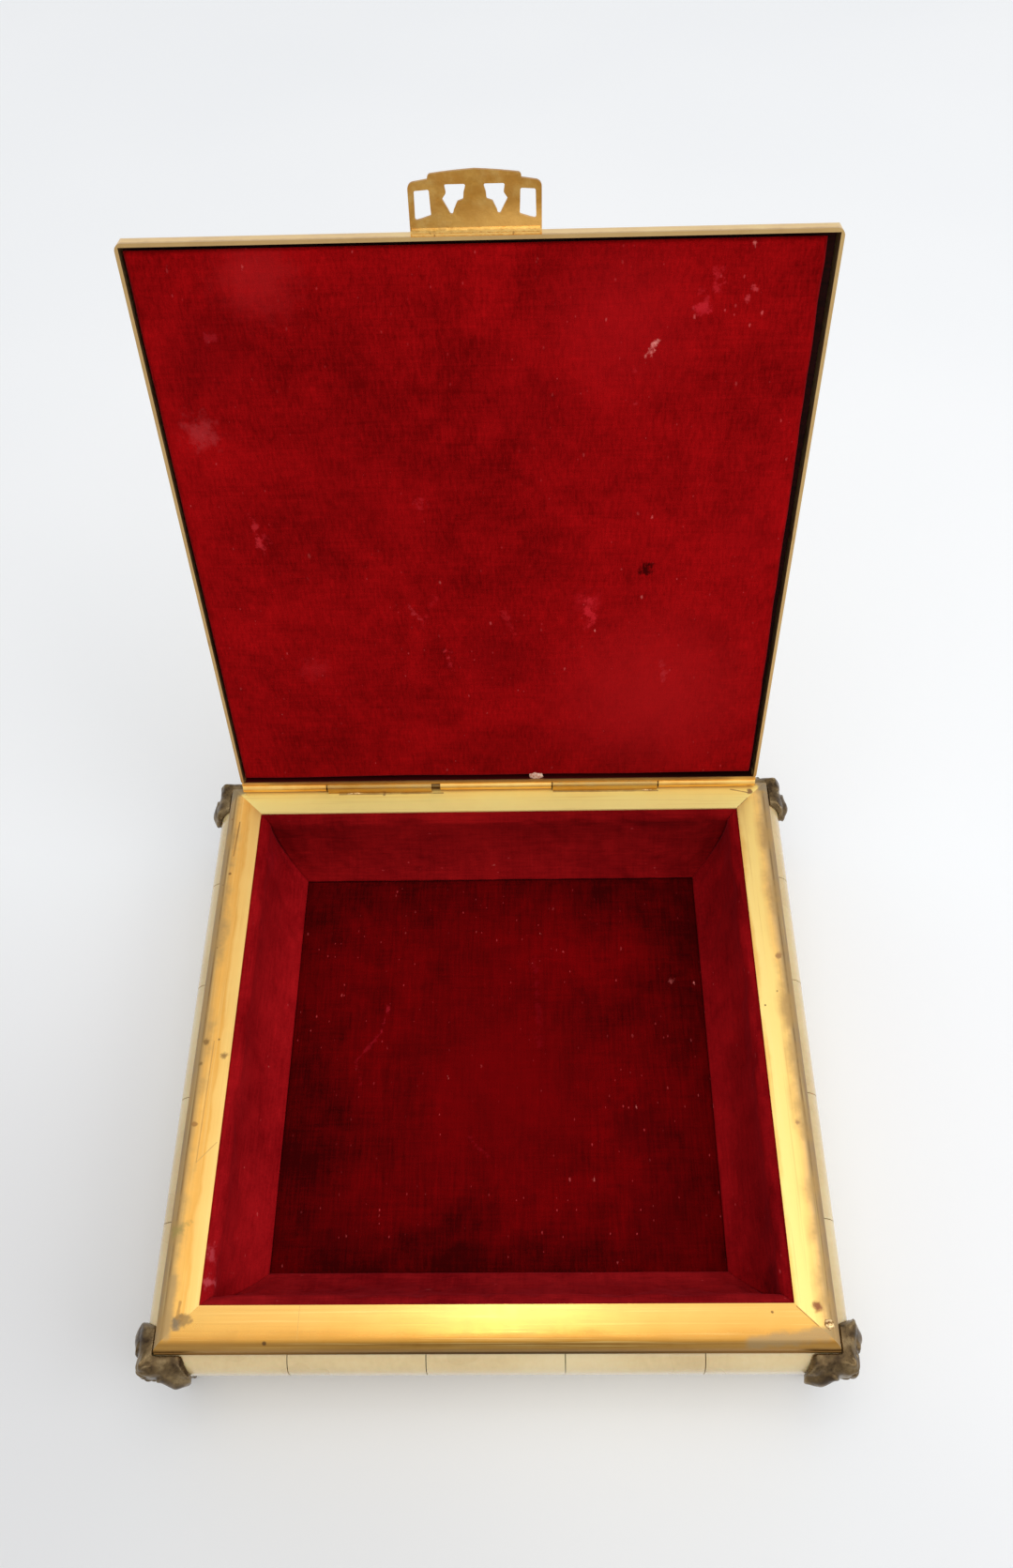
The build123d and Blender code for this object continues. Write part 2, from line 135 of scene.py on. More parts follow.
def add_table():
    """A white table that shows brightest behind the casket and to its right, as in the photograph."""
    tree, shader = new_material("table_white", Roughness=0.75)
    place = tree.coordinates()
    cloud = tree.noise(place, 0.004, detail=2)
    colour = tree.ramp(cloud, [(0.3, (0.86, 0.875, 0.89)), (0.7, (0.9, 0.91, 0.92))])
    x, y = tree.split(place)[:2]
    slope = tree.blend_of((x, 0.6), (y, 1.1), (cloud, 60))
    # Painted shade: the table greys towards the casket's front left.
    colour = tree.mix(tree.step(slope, 40, -130, 0.0, 0.45), colour, (0.75, 0.745, 0.74))
    # Painted light: a glow that only camera and mirror rays see, rising towards the back and right.
    painted_glow = tree.times(tree.step(slope, -240, 200, 0.0, 0.15), tree.seen())
    tree.fill(shader, Base_Color=colour, Emission_Color=(0.98, 0.99, 1.0, 1), Emission_Strength=painted_glow)
    half = 3.0
    corners = [(x, y, 0) for y in (-half, half) for x in (-half, half)]
    table = add_sheet("table", corners, grid_faces(2, 2), tree.material)


# Node helpers


class Nodes:
    """Short names for making and joining shader nodes. Lengths in its coordinates are millimetres."""

    def __init__(self, tree, material=None):
        self.tree = tree
        self.material = material
        tree.nodes.clear()

    def link(self, source, target):
        self.tree.links.new(source, target)

    def add(self, kind, **values):
        """A new shader node; kind is the end of its type's name."""
        return self.fill(self.tree.nodes.new("ShaderNode" + kind), **values)

    def fill(self, node, **values):
        """Sets or joins a node's inputs, whose names are given with _ for each space."""
        for name, value in values.items():
            self.put(node.inputs[name.replace("_", " ")], value)
        return node

    def put(self, socket, value):
        if isinstance(value, bpy.types.NodeSocket):
            self.link(value, socket)
        else:
            socket.default_value = value

    def math(self, operation, first, second=0.0, third=0.0, clamp=False):
        node = self.add("Math")
        node.operation = operation
        node.use_clamp = clamp
        for socket, value in zip(node.inputs, (first, second, third)):
            self.put(socket, value)
        return node.outputs[0]

    def plus(self, first, second):
        return self.math("ADD", first, second)

    def times(self, first, second):
        return self.math("MULTIPLY", first, second)

    def swing(self, share, width):
        """A share from 0 to 1, moved to lie on both sides of 0 and made as wide as width."""
        return self.math("MULTIPLY_ADD", share, width, -width / 2)

    def coordinates(self, axes="", share=1.0):
        """Object coordinates in millimetres, with those of the named axes multiplied by share."""
        place = self.add("TexCoord").outputs["Object"]
        scales = [1000 * share if axis in axes else 1000 for axis in "xyz"]
        return self.vector_math("MULTIPLY", place, scales)

    def split(self, vector):
        return self.add("SeparateXYZ", Vector=vector).outputs

    def seen(self):
        """1 for rays that show a surface, straight or by a mirror or glass, 0 for those that light."""
        path = self.add("LightPath")
        seen = self.math("MAXIMUM", path.outputs["Is Camera Ray"], path.outputs["Is Glossy Ray"])
        return self.math("MAXIMUM", seen, path.outputs["Is Transmission Ray"])

    def noise(self, place, scale, detail=3.0, roughness=0.55, distortion=0.0):
        node = self.add("TexNoise", Vector=place, Scale=scale, Detail=detail,
                        Roughness=roughness, Distortion=distortion)
        return node.outputs["Fac"]

    def ramp(self, factor, stops):
        """Colour at a factor along stops, each a place from 0 to 1 and a colour."""
        node = self.add("ValToRGB", Fac=factor)
        elements = node.color_ramp.elements
        while len(elements) < len(stops):
            elements.new(0.5)
        for element, (place, colour) in zip(elements, stops):
            element.position = place
            element.color = (*colour, 1)
        return node.outputs["Color"]

    def step(self, value, low, high, bottom=0.0, top=1.0):
        """Smooth step from bottom, at low, to top, at high."""
        node = self.add("MapRange")
        node.interpolation_type = "SMOOTHSTEP"
        for name, item in (("Value", value), ("From Min", low), ("From Max", high),
                           ("To Min", bottom), ("To Max", top)):
            self.put(node.inputs[name], item)
        return node.outputs["Result"]

    def mix(self, factor, first, second):
        """Colour from first, at factor 0, to second, at 1."""
        node = self.add("Mix")
        node.data_type = "RGBA"
        self.put(node.inputs["Factor"], factor)
        for name, value in (("A", first), ("B", second)):
            socket = [s for s in node.inputs if s.name == name and s.type == "RGBA"][0]
            self.put(socket, value if isinstance(value, bpy.types.NodeSocket) else (*value, 1))
        return [s for s in node.outputs if s.type == "RGBA"][0]

    def blend_of(self, *parts):
        """Sum of values, each times its share."""
        total = None
        for value, share in parts:
            part = self.times(value, share)
            total = part if total is None else self.plus(total, part)
        return total

    def vector_math(self, operation, first, second=None, scale=None):
        node = self.add("VectorMath")
        node.operation = operation
        self.put(node.inputs[0], first)
        if second is not None:
            self.put(node.inputs[1], second)
        if scale is not None:
            self.put(node.inputs["Scale"], scale)
        value = operation in ("DOT_PRODUCT", "LENGTH", "DISTANCE")
        return node.outputs["Value" if value else "Vector"]

    def line_distance(self, place, start, end):
        """Distance in mm from a place to the straight line between two points."""
        way = Vector(end) - Vector(start)
        apart = self.vector_math("SUBTRACT", place, start)
        share = self.math("DIVIDE", self.vector_math("DOT_PRODUCT", apart, way),
                          way.length_squared, clamp=True)
        nearest = self.vector_math("SCALE", way, scale=share)
        return self.vector_math("LENGTH", self.vector_math("SUBTRACT", apart, nearest))

    def along(self, place, start, direction):
        """How far, in mm, a place lies from start along a direction; start itself is in metres."""
        reach = self.vector_math("DOT_PRODUCT", place, direction)
        return self.math("SUBTRACT", reach, start.dot(direction) / MM)

    def distance(self, place, point):
        return self.vector_math("DISTANCE", place, point)

    def square_reach(self, x, y):
        """The larger of two distances from the middle, whatever their signs."""
        return self.math("MAXIMUM", self.math("ABSOLUTE", x), self.math("ABSOLUTE", y))

    def bump(self, height, distance_mm, shader, strength=1.0):
        node = self.add("Bump", Height=height, Strength=strength,
                        Distance=distance_mm * MM)
        self.fill(shader, Normal=node.outputs["Normal"])


def new_material(name, **values):
    """A material and its shader; values are the shader's inputs, such as Coat_Weight."""
    material = bpy.data.materials.new(name)
    material.use_nodes = True
    tree = Nodes(material.node_tree, material)
    shader = tree.add("BsdfPrincipled", **values)
    out = tree.add("OutputMaterial")
    tree.link(shader.outputs[0], out.inputs["Surface"])
    return tree, shader


# Materials

# Rolled brass, at shares of its noise from deep to pale
GOLDS = [(0.36, (0.74, 0.38, 0.07)), (0.48, (0.93, 0.53, 0.125)), (0.62, (1.0, 0.66, 0.2))]
BROWN_GOLD = (0.42, 0.235, 0.075)
TARNISH = (0.33, 0.225, 0.12)
# Painted shade on the flange below the rail's rounded edge
FLANGE_SHADE = (0.085, 0.045, 0.018)
RIM_INSIDE = 5.0  # height in mm of the lid rim's inner face, up from the lip

# Colours across each rail, at places in mm from the casket's middle outward
# Each side has its own brightness, as painted light and shade: the back rail pale, the front darker.
# Outward, the rounded edge browns with tarnish and darkens with painted shade, with a painted dark
# line.
RAIL_BANDS = {
    "front": [(68.2, (0.74, 0.45, 0.125)), (70.5, (0.77, 0.465, 0.12)), (73.5, (0.71, 0.38, 0.08)),
              (75.2, (0.58, 0.27, 0.045)), (76.2, (0.34, 0.155, 0.018)), (76.8, (0.14, 0.06, 0.008)),
              (77.3, (0.25, 0.13, 0.025)), (78.3, (0.1, 0.045, 0.01))],
    # Painted light: the back rail's pale, bright colours stand in for the light its metal catches.
    "back": [(68.2, (1.0, 0.88, 0.32)), (72.0, (1.0, 0.87, 0.3)), (75.0, (1.0, 0.76, 0.21)),
             (76.5, (0.6, 0.36, 0.12)), (77.6, (0.26, 0.17, 0.08)), (78.3, (0.12, 0.07, 0.03))],
    "left": [(68.2, (1.0, 0.68, 0.22)), (70.8, (0.97, 0.6, 0.17)), (71.6, (0.86, 0.44, 0.09)),
             (73.2, (0.95, 0.51, 0.115)), (74.5, (0.8, 0.44, 0.115)), (75.5, (0.5, 0.31, 0.12)),
             (76.0, (0.14, 0.09, 0.05)), (76.4, (0.36, 0.27, 0.16)), (77.4, (0.27, 0.2, 0.12)),
             (78.3, (0.11, 0.07, 0.04))],
    "right": [(68.2, (0.86, 0.55, 0.15)), (69.3, (1.0, 0.78, 0.27)), (72.2, (1.0, 0.76, 0.25)),
              (73.8, (0.97, 0.62, 0.19)), (74.9, (0.74, 0.48, 0.19)), (75.6, (0.44, 0.31, 0.16)),
              (76.1, (0.12, 0.08, 0.05)), (76.5, (0.32, 0.24, 0.15)), (77.5, (0.25, 0.18, 0.11)),
              (78.3, (0.12, 0.08, 0.045))],
}

# Spots on the frame: place in mm (with a height where that isn't the top's), radius, colour
FRAME_SPOTS = [
    ((73.4, -69.1), 1.5, (0.24, 0.06, 0.035)),
    ((-73.2, -72.2), 2.0, (0.2, 0.17, 0.12)),
    ((-71.1, -71.6), 1.9, (0.36, 0.22, 0.08)),
    ((-74.9, -2.6), 1.0, (0.26, 0.15, 0.05)),
    ((-71.7, -2.0), 0.5, (0.26, 0.15, 0.05)),
    ((-69.6, -6.6), 1.2, (0.3, 0.17, 0.06)),
    ((-75.4, -8.6), 0.8, (0.26, 0.15, 0.05)),
    ((-75.1, -24.8), 0.7, (0.4, 0.2, 0.06)),
    ((-75.4, -51.0), 2.8, (0.4, 0.3, 0.1)),
    ((-76.2, 66.4, 33.0), 0.7, (0.3, 0.15, 0.05)),
    ((-74.8, 48.1), 0.5, (0.26, 0.13, 0.04)),
    ((-76.3, 44.4, 33.2), 0.5, (0.26, 0.13, 0.04)),
    ((-75.5, 24.7), 0.6, (0.24, 0.13, 0.04)),
    ((74.7, 20.7), 1.0, (0.4, 0.22, 0.09)),
    ((69.6, 6.3), 0.3, (0.16, 0.09, 0.03)),
    ((73.2, 10.3), 0.4, (0.36, 0.22, 0.08)),
    ((74.2, -25.4), 1.3, (0.46, 0.27, 0.12)),
    ((62.9, -70.2), 0.5, (0.2, 0.1, 0.03)),
    ((-52.4, -76.6, 33.3), 0.6, (0.1, 0.05, 0.02)),
    ((-33.0, 74.4), 0.7, (0.26, 0.14, 0.05)),
    ((72.6, 73.9), 1.0, (0.2, 0.08, 0.04)),
    ((-76.2, 76.2, 33.0), 4.0, (0.3, 0.23, 0.13)),
    ((76.8, 76.0, 33.0), 3.2, (0.32, 0.25, 0.16)),
]

# Scratches, edges of old stains and painted shadow under the hinge: both ends, width, colour
FRAME_LINES = [
    ((-74.0, 65.3), (-74.5, 53.9), 0.3, (0.36, 0.18, 0.05)),
    ((-72.9, -2.5), (-73.3, -34.5), 0.22, (0.62, 0.33, 0.1)),
    ((-73.3, -34.5), (-68.9, -29.5), 0.2, (0.66, 0.38, 0.12)),
    ((-72.6, -67.5), (-72.9, -71.0), 0.55, (0.46, 0.25, 0.07)),
    ((67.0, 74.6), (72.0, 73.4), 0.3, (0.3, 0.14, 0.05)),
    ((68.6, -68.9), (73.0, -73.2), 0.16, (0.26, 0.13, 0.04)),
    ((68.4, 68.4), (71.5, 71.5), 0.14, (0.34, 0.18, 0.06)),
    ((-44.9, -68.3), (-44.9, -77.0), 0.12, (0.6, 0.34, 0.1)),
    # Painted shadow along the back rail under the hinge's left knuckles
    ((-46.0, 74.5), (-16.0, 74.6), 0.34, (0.34, 0.17, 0.05)),
    ((58.0, -76.9, 33.2), (74.8, -74.8), 2.3, (0.37, 0.25, 0.115)),
    ((-74.9, -75.0), (-75.0, -62.0), 1.6, (0.44, 0.29, 0.12)),
    # Painted shadow under the hinge's right knuckles
    ((16.0, 74.6), (46.0, 74.5), 0.34, (0.34, 0.17, 0.05)),
]


def frame_place(x, y, z=FRAME_TOP / MM):
    return x, y, z


def brass(name, along, shade=1.0, dull=0.0, roughness=0.34, metallic=0.93, pale=0.0):
    """Rolled brass, rubbed along an axis or none. Gives its tree, its shader and the values in it."""
    tree, shader = new_material(name, Metallic=metallic)
    place = tree.coordinates()
    rub = tree.noise(tree.coordinates(along, 0.05), 0.9)
    cloud = tree.noise(place, 0.045, roughness=0.5)
    blot = tree.noise(place, 0.3, detail=4, roughness=0.6)
    grain = tree.noise(place, 1.3, detail=4, roughness=0.65)
    tone = tree.blend_of((rub, 0.22), (cloud, 0.46), (blot, 0.32))
    colour = tree.ramp(tone, [(at, [shade * part for part in gold]) for at, gold in GOLDS])
    # Painted reflection: pale cream mixed in by the share pale, for the white room seen in the metal.
    colour = tree.mix(pale, colour, (0.93, 0.8, 0.5))
    colour = tree.mix(tree.step(grain, 0.7, 0.78, 0.0, 0.45), colour, BROWN_GOLD)
    dullness = tree.step(cloud, 0.64, 0.8, 0.0, 0.4)
    if dull:
        dullness = tree.math("MAXIMUM", dullness, tree.step(blot, 0.38, 0.64, dull / 2.5, dull))
    stain = tree.blend_of((grain, 0.35), (blot, 0.65))
    brown = tree.ramp(stain, [(0.38, (0.22, 0.14, 0.06)), (0.6, TARNISH)])
    colour = tree.mix(dullness, colour, brown)
    rough = tree.plus(tree.step(tone, 0.35, 0.62, roughness - 0.02, roughness + 0.04),
                      tree.times(dullness, 0.16))
    tree.bump(tree.blend_of((rub, 0.6), (blot, 0.4)), 0.045, shader, 0.3)
    tree.fill(shader, Base_Color=colour, Roughness=rough)
    return tree, shader, {"place": place, "rub": rub, "blot": blot, "colour": colour, "rough": rough}


def plain_brass(name, **values):
    return brass(name, "x", **values)[0].material


def rail_brass(side, **values):
    """Brass of one side of the frame, gone brown towards its outer edge, with its marks."""
    along = "x" if side in ("front", "back") else "y"
    tree, shader, parts = brass(f"{side}_rail_brass", along, **values)
    place, blot, colour = parts["place"], parts["blot"], parts["colour"]
    x, y, z = tree.split(place)
    across, sign = {"front": (y, -1), "back": (y, 1), "left": (x, -1), "right": (x, 1)}[side]
    out = tree.times(across, sign)
    sway = tree.swing(parts["rub"], 1.5)
    sway = tree.plus(sway, tree.swing(tree.noise(place, 0.07), 3.0))
    sway = tree.plus(sway, tree.swing(blot, 0.8))
    sway = tree.times(sway, tree.step(out, 75.9, 74.0, 0.06, 1.0))
    bands = RAIL_BANDS[side]
    inner, outer = bands[0][0], bands[-1][0]
    swayed = tree.plus(out, sway)
    share = tree.math("DIVIDE", tree.math("SUBTRACT", swayed, inner), outer - inner)
    across_colour = tree.ramp(share, [((at - inner) / (outer - inner), tone) for at, tone in bands])
    colour = tree.mix(0.84, colour, across_colour)
    # Streaks along the rail: dark ones of rubbing, pale ones of rubbing with painted reflection.
    lines = tree.noise(tree.coordinates(along, 0.012), 2.2)
    colour = tree.mix(tree.step(lines, 0.56, 0.7, 0.0, 0.26), colour, (0.6, 0.31, 0.07))
    colour = tree.mix(tree.step(lines, 0.44, 0.32, 0.0, 0.22), colour, (1.0, 0.76, 0.3))
    # Painted shade down the flange, below the rounded edge
    depth = tree.math("SUBTRACT", FRAME_TOP / MM, z)
    colour = tree.mix(tree.step(depth, 2.9, 3.4, 0.0, 0.9), colour, FLANGE_SHADE)
    # Painted highlight along the bead at the flange's foot
    bead = tree.step(depth, 3.8, 4.0, 0.0, 0.7)
    colour = tree.mix(bead, colour, (0.34, 0.24, 0.12))
    if side == "front":
        # Painted shade towards the front rail's ends, leaving the glint bright in its middle
        painted_shade_ends = tree.step(tree.math("ABSOLUTE", x), 14, 64, 0.0, 0.5)
        colour = tree.mix(painted_shade_ends, colour, tree.mix(0.6, colour, (0.62, 0.31, 0.07)))
    if side in ("left", "right"):
        worn = tree.step(tree.noise(place, 0.09, detail=4, roughness=0.6), 0.4, 0.66)
        patch = tree.times(worn, tree.step(swayed, 71.8, 75.4, 0.0, 0.9))
        colour = tree.mix(patch, colour, (0.48, 0.3, 0.11))
    colour, dull = rail_marks(tree, place, blot, colour, tree.step(share, 0.55, 0.85, 0.0, 0.16))
    tree.fill(shader, Base_Color=colour, Roughness=tree.plus(parts["rough"], dull))
    return tree.material


def rail_marks(tree, place, blot, colour, dull):
    """A rail's colour and dullness with its spots and lines added."""
    for point, radius, tone in FRAME_SPOTS:
        away = tree.plus(tree.distance(place, frame_place(*point)), tree.swing(blot, 3.0 * radius))
        spot = tree.step(away, radius, 0.3 * radius, 0.0, 0.85)
        colour = tree.mix(spot, colour, tone)
        dull = tree.math("MAXIMUM", dull, tree.times(spot, 0.2))
    for start, end, width, tone in FRAME_LINES:
        away = tree.line_distance(place, frame_place(*start), frame_place(*end))
        away = tree.plus(away, tree.swing(blot, 1.2 * width))
        colour = tree.mix(tree.step(away, width, 0.25 * width, 0.0, 0.8), colour, tone)
    return colour, dull


def lid_rim_brass():
    """Brass of the lid's rim: paled by a painted reflection, with painted shade along the lip that
    meets the frame and inside.
    """
    # pale paints the white room's reflection over the rim.
    tree, shader, parts = brass("lid_brass", "x", shade=0.95, roughness=0.3, pale=0.4)
    place = parts["place"]
    middle = on_lid(0, LID_MIDDLE, LID_LIP)
    height = tree.along(place, middle, LID_NORMAL)
    back = tree.along(place, middle, LID_BACK)
    side = tree.split(place)[0]
    out = tree.square_reach(side, back)
    # Painted shade: brown along the lip, where the rim faces the frame.
    lip = tree.step(tree.plus(height, tree.swing(parts["blot"], 0.8)), 0.9, 0.35, 0.0, 0.55)
    colour = tree.mix(lip, parts["colour"], BROWN_GOLD)
    dents = tree.step(tree.noise(place, 0.12, detail=2), 0.66, 0.72, 0.0, 0.5)
    colour = tree.mix(dents, colour, BROWN_GOLD)
    # Painted shade on the rim's inner face: dark red to the left, a painted reflection of the velvet,
    # near black to the right.
    inside = tree.times(tree.step(out, LID_HALF / MM - 0.5, LID_HALF / MM - 0.7),
                        tree.step(height, 0.1, 0.35))
    inside = tree.times(inside, tree.step(height, RIM_INSIDE + 0.15, RIM_INSIDE))
    dark = tree.mix(tree.step(side, 20, 60), (0.11, 0.006, 0.006), (0.03, 0.004, 0.003))
    colour = tree.mix(inside, colour, dark)
    rough = tree.plus(parts["rough"], tree.times(inside, 0.4))
    tree.fill(shader, Base_Color=colour, Roughness=rough)
    return tree.material


def tab_brass():
    """Brass of the thumb tab, browner than the rim, with a painted highlight along the bend at its
    root.
    """
    tree, shader, parts = brass("tab_brass", "", shade=0.76, dull=0.22, roughness=0.32)
    place = parts["place"]
    root = on_lid(0, LID_REAR - 2 * LID_HALF, LID_LIP)
    beyond = tree.times(tree.along(place, root, LID_BACK), -1)
    blot = tree.noise(place, 0.8, detail=4)
    shade = tree.step(tree.noise(place, 0.35, roughness=0.5), 0.36, 0.62, 0.25, 0.75)
    colour = tree.mix(shade, parts["colour"], (0.47, 0.205, 0.03))
    # Painted light: brighter gold at the tab's lower right, just above its root.
    low = tree.times(tree.step(beyond, 8.0, 3.0), tree.step(tree.split(place)[0], -10, 9))
    colour = tree.mix(tree.times(low, 0.75), colour, (0.95, 0.52, 0.13))
    # Painted highlight along the rolled bend at the tab's root.
    bend = tree.step(tree.plus(beyond, tree.swing(blot, 1.4)), 2.3, 1.4)
    colour = tree.mix(tree.times(bend, 0.85), colour, (1.0, 0.64, 0.2))
    specks = tree.times(tree.step(blot, 0.6, 0.66), bend)
    colour = tree.mix(tree.times(specks, 0.7), colour, (0.36, 0.17, 0.05))
    tree.fill(shader, Base_Color=colour)
    tree.bump(tree.blend_of((parts["blot"], 1.4), (blot, 0.5)), 0.4, shader, 0.7)
    return tree.material


# Lint in three sizes, far apart and long, then closer and finer: cells to the mm, radius, share
# of the cells, colour
LINT = [(0.13, 0.62, 1.0, (0.8, 0.2, 0.18)), (0.3, 0.4, 0.7, (0.66, 0.09, 0.09)),
        (0.6, 0.28, 0.5, (0.56, 0.05, 0.055))]


def velvet(name, along, deep, bright, marks=(), lines=(), lint=0.4, nap=0.22, edge=None):
    """Short silk pile: patches where the nap lies another way, streaks along the pile, lint.

    edge is the half width, in mm, of a square whose outer part lies in shade.
    """
    tree, shader = new_material(name, Roughness=0.9, Sheen_Weight=0.18, Sheen_Roughness=0.4,
                                Sheen_Tint=(1.0, 0.06, 0.09, 1), Specular_IOR_Level=0.03)
    place = tree.coordinates()
    pile = tree.coordinates(along, 0.06)
    weft = tree.coordinates("yz" if along == "x" else "x", 0.06)
    patches = tree.noise(place, 0.028, detail=4, roughness=0.6, distortion=0.8)
    blots = tree.noise(place, 0.13, detail=4, roughness=0.6, distortion=0.5)
    streaks = tree.noise(pile, 1.7, detail=4, roughness=0.65)
    threads = tree.noise(weft, 1.5, roughness=0.6)
    grain = tree.noise(place, 4.0, detail=2)
    tone = tree.blend_of((patches, 0.34), (blots, 0.4 - nap), (streaks, nap), (threads, 0.11),
                         (grain, 0.15))
    if edge is not None:
        out = tree.square_reach(*tree.split(place)[:2])
        tone = tree.plus(tone, tree.step(out, edge - 24, edge, 0.03, -0.05))
    colour = tree.ramp(tone, [(0.4, deep), (0.51, [(a + b) / 2 for a, b in zip(deep, bright)]),
                              (0.62, bright)])
    colour = velvet_marks(tree, place, streaks, colour, marks, lines)
    wear = tree.step(patches, 0.42, 0.58, 0.25, 1.0)
    for scale, size, share, tint in LINT:
        speck = lint_mask(tree, tree.coordinates(along, 0.5), scale, size, share * lint)
        colour = tree.mix(tree.times(speck, wear), colour, tint)
    tree.fill(shader, Base_Color=colour)
    tree.bump(tree.blend_of((grain, 1.0), (streaks, 0.6), (threads, 0.4)), 0.1, shader, 0.5)
    return tree.material


def velvet_marks(tree, place, streaks, colour, marks, lines):
    """Velvet's colour with its marks and lines added, all with torn edges."""
    ragged = tree.swing(tree.noise(place, 0.45, detail=4, roughness=0.7), 2.0)
    for point, radius, tint, strength in marks:
        torn = min(radius, 3.0)
        away = tree.plus(tree.distance(place, point), tree.times(ragged, 2.4 * torn))
        away = tree.plus(away, tree.swing(streaks, 1.4 * torn))
        colour = tree.mix(tree.step(away, radius, 0.0, 0.0, strength), colour, tint)
    for start, end, width, tint, strength in lines:
        away = tree.plus(tree.line_distance(place, start, end), tree.times(ragged, 4 * width))
        colour = tree.mix(tree.step(away, width, -0.4 * width, 0.0, strength), colour, tint)
    return colour


def lint_mask(tree, place, scale, size, share):
    """Torn specks, one in a share of the cells of a scattered grid; size is a radius in mm."""
    cells = tree.add("TexVoronoi", Vector=place, Scale=scale)
    radius = size * scale
    shares = tree.split(cells.outputs["Color"])
    chosen = tree.step(shares[0], 1 - share, 1 - share + 0.02)
    reach = tree.math("MULTIPLY_ADD", tree.math("POWER", shares[1], 2.0), 0.6 * radius, 0.4 * radius)
    torn = tree.swing(tree.noise(place, 2.2), 1.6 * radius)
    speck = tree.step(tree.plus(cells.outputs["Distance"], torn), reach, tree.times(reach, 0.3))
    return tree.times(tree.times(speck, chosen), tree.math("MULTIPLY_ADD", shares[2], 0.65, 0.35))


def cream_plaque():
    """Old bone: fine streaks, warm stains and a polished face."""
    tree, shader = new_material("cream_bone", Subsurface_Weight=0.1, Subsurface_Scale=0.002,
                                Specular_IOR_Level=0.5, Coat_Weight=0.9, Coat_Roughness=0.16)
    place = tree.coordinates()
    streak = tree.noise(tree.coordinates("z", 1 / 7), 0.77, detail=4)
    cloud = tree.noise(place, 0.035)
    tone = tree.blend_of((streak, 0.2), (cloud, 0.8))
    colour = tree.ramp(tone, [(0.34, (0.64, 0.465, 0.215)), (0.5, (0.74, 0.56, 0.275)),
                              (0.66, (0.79, 0.63, 0.34))])
    tree.fill(shader, Base_Color=colour, Roughness=tree.step(cloud, 0.3, 0.7, 0.24, 0.4))
    tree.bump(streak, 0.006, shader, 0.3)
    return tree.material


def old_bronze(name):
    """Cast metal gone brown, paler where it is rubbed."""
    tree, shader = new_material(name, Metallic=0.8)
    place = tree.coordinates()
    lump = tree.noise(place, 0.26, roughness=0.5)
    grain = tree.noise(place, 1.4)
    tone = tree.blend_of((lump, 0.8), (grain, 0.2))
    geometry = tree.add("NewGeometry")
    worn = tree.step(geometry.outputs["Pointiness"], 0.51, 0.6, 0.0, 0.55)
    colour = tree.ramp(tone, [(0.38, (0.05, 0.029, 0.012)), (0.52, (0.135, 0.086, 0.036)),
                              (0.66, (0.25, 0.175, 0.085))])
    colour = tree.mix(worn, colour, (0.46, 0.34, 0.18))
    tree.fill(shader, Base_Color=colour, Roughness=tree.step(grain, 0.3, 0.7, 0.24, 0.38))
    tree.bump(tone, 0.1, shader, 0.4)
    return tree.material


def plain_wood(name, dark, pale, roughness=0.6):
    tree, shader = new_material(name, Roughness=roughness, Specular_IOR_Level=0.2)
    rings = tree.noise(tree.coordinates("x", 0.06), 1.2, detail=5, distortion=0.8)
    tree.fill(shader, Base_Color=tree.ramp(rings, [(0.35, dark), (0.65, pale)]))
    tree.bump(rings, 0.08, shader, 0.5)
    return tree.material


def solder(name, dark, pale, roughness=0.3, metallic=1.0):
    tree, shader = new_material(name, Metallic=metallic)
    grain = tree.noise(tree.coordinates(), 1.3, detail=4)
    tree.fill(shader, Base_Color=tree.ramp(grain, [(0.4, dark), (0.6, pale)]),
              Roughness=tree.step(grain, 0.3, 0.7, roughness - 0.1, roughness + 0.15))
    tree.bump(grain, 0.1, shader, 0.6)
    return tree.material


def paint_nodes():
    wood = plain_wood("carcass_wood", (0.1, 0.05, 0.022), (0.24, 0.13, 0.06))
    hidden = velvet("hidden_velvet", "y", (0.1, 0.001, 0.002), (0.22, 0.004, 0.006), lint=0.5)
    paints = {
        "front_rail": rail_brass("front", roughness=0.21),
        "back_rail": rail_brass("back", roughness=0.5, metallic=0.15),
        "left_rail": rail_brass("left", roughness=0.36, metallic=0.88),
        "right_rail": rail_brass("right", roughness=0.34, metallic=0.88),
        # Near black: painted shade for the gap beside the lid's pad, where the board shows.
        "lid_board": plain_wood("lid_wood_painted_shade", (0.012, 0.002, 0.002), (0.03, 0.003, 0.003), roughness=0.9),
        "thumb_tab": tab_brass(),
        "hinge_lid_leaf": plain_brass("lid_hinge_brass", shade=0.98, roughness=0.3),
        "hinge_body_leaf": plain_brass("body_hinge_brass", shade=0.78, dull=0.3, roughness=0.3),
        "hinge_pin": plain_brass("pin_metal", shade=0.3, dull=0.5, roughness=0.4),
    }
    # The other nodes, by a part of their names: the first that fits counts
    kinds = (("plaque", cream_plaque()), ("corner_mount", old_bronze("mount_bronze")),
             ("_wall", wood), ("_board", wood), ("_lining", hidden), ("_pad", hidden),
             ("rail", lid_rim_brass()))
    for name, node in nodes.items():
        paint = paints.get(name) or next(paint for part, paint in kinds if part in name)
        for slot in node.material_slots:
            slot.material = paint
        if not node.material_slots:
            node.data.materials.append(paint)


# Mesh helpers


def smooth_piece(name, mesh, material):
    """An object of a mesh, in one material and with smooth shading."""
    for face in mesh.polygons:
        face.use_smooth = True
    mesh.materials.append(material)
    return add_object(name, mesh)


